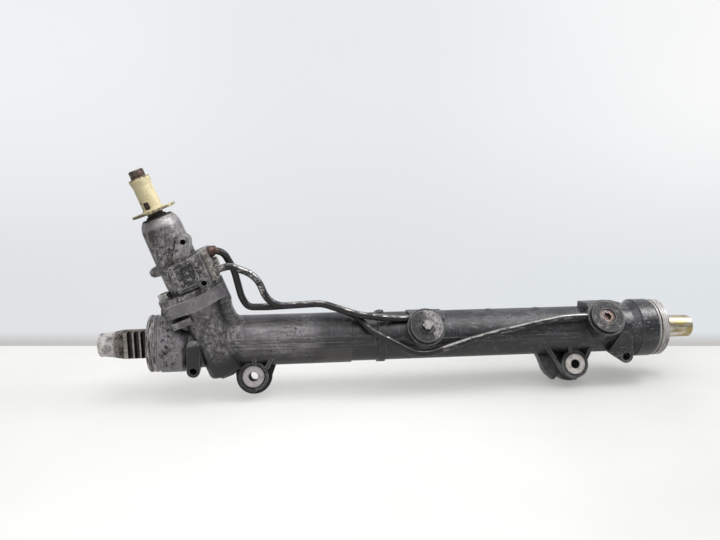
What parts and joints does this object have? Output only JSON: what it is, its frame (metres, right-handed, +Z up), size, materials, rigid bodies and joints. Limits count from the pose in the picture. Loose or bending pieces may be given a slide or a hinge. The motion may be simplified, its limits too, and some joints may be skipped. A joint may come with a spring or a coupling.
{
  "type": "steering rack",
  "caption": "Hydraulic power steering rack: tubular housing with a leaning valve tower, rack bar, rubber mounting bushes and two bent steel pressure lines.",
  "frame": {"origin": "on the rack bar's axis, in the middle of the left boot seat", "axes": "+X along the rack bar to the right, +Z up on the tower's side, -Y towards the toothed side and the bush fronts"},
  "size_m": [0.717, 0.1088, 0.2663],
  "materials": {
    "cast_housing": "cast, part bare and part black painted",
    "cast_valve_housing": "bare cast, stained",
    "ground_steel": "ground, darkened by grease",
    "machined_steel": "machined, light rust",
    "bearing_steel": "ground",
    "spring_steel": "dark",
    "seal_rubber": "matt",
    "seal_plastic": "smooth",
    "cap_plastic": "matt, stained brown",
    "bush_rubber": "matt",
    "bush_sleeve": "bright, worn",
    "zinc_bolt": "zinc plated",
    "plain_aluminium": "machined, worn",
    "dark_cap": "dark, worn",
    "line_plate": "plated, stained",
    "line_steel": "dark coating, worn bright"
  },
  "bodies": {
    "housing": {"bearing_balls": "bearing_steel", "bearing_outer_ring": "bearing_steel", "bushing_o_ring": "seal_rubber", "centre_cap_screw": "zinc_bolt", "centre_port_cap": "plain_aluminium", "dust_seal": "seal_rubber", "end_rack_seal": "seal_rubber", "end_retaining_ring": "spring_steel", "flange_bolts": "zinc_bolt", "housing_seal_ring": "seal_rubber", "inner_rack_seal": "seal_rubber", "left_mount_rubber": "bush_rubber", "left_mount_sleeve": "bush_sleeve", "line_clamp_bolt": "zinc_bolt", "line_plates": "line_plate", "pinion_bearing_cup": "bearing_steel", "pinion_bearing_needles": "bearing_steel", "pinion_oil_seal": "seal_rubber", "pinion_plug": "plain_aluminium", "port_cap_seals": "seal_rubber", "pressure_line_centre": "line_steel", "pressure_line_right": "line_steel", "rack_bushing": "plain_aluminium", "rack_housing": "cast_housing", "rack_yoke": "plain_aluminium", "right_mount_rubber": "bush_rubber", "right_mount_sleeve": "bush_sleeve", "right_port_cap": "dark_cap", "seal_backing_ring": "seal_plastic", "seal_retaining_ring": "spring_steel", "shaft_bearing_cup": "bearing_steel", "shaft_bearing_needles": "bearing_steel", "shaft_seal": "seal_rubber", "valve_housing": "cast_valve_housing", "yoke_lock_nut": "dark_cap", "yoke_o_ring": "seal_rubber", "yoke_pad": "seal_plastic", "yoke_plug": "plain_aluminium", "yoke_spring": "spring_steel"},
    "rack": {"rack_bar": "ground_steel", "piston": "machined_steel", "piston_ring": "seal_plastic", "piston_o_ring": "seal_rubber", "piston_clips": "spring_steel"},
    "pinion": {"pinion": "machined_steel", "pinion_nut": "machined_steel", "bearing_inner_ring": "bearing_steel", "valve_sleeve": "machined_steel", "sleeve_pin": "machined_steel", "sleeve_seal_rings": "seal_plastic"},
    "input_shaft": {"input_shaft": "machined_steel", "torsion_bar": "machined_steel", "torsion_bar_pin": "machined_steel"},
    "cap": {"spline_cap": "cap_plastic"}
  },
  "joints": [
    {"name": "rack_slide", "type": "slide", "parent": "housing", "child": "rack", "axis": [1, 0, 0], "range_m": [-0.0622, 0.0877]},
    {"name": "pinion_spin", "type": "hinge", "parent": "housing", "child": "pinion", "pos_m": [0.0708, -0.0158, 0], "axis": [-0.3584, 0, 0.9336], "range_deg": [-600, 426]},
    {"name": "valve_twist", "type": "hinge", "parent": "pinion", "child": "input_shaft", "pos_m": [0.0708, -0.0158, 0], "axis": [-0.3584, 0, 0.9336], "range_deg": [-6, 6], "stiffness_Nm_per_rad": 30},
    {"name": "cap_pull", "type": "slide", "parent": "input_shaft", "child": "cap", "axis": [-0.3584, 0, 0.9336], "range_m": [0, 0.05]}
  ],
  "couplings": [
    {"joint": "pinion_spin", "follows": "rack_slide", "rad_per_m": -119.05}
  ]
}
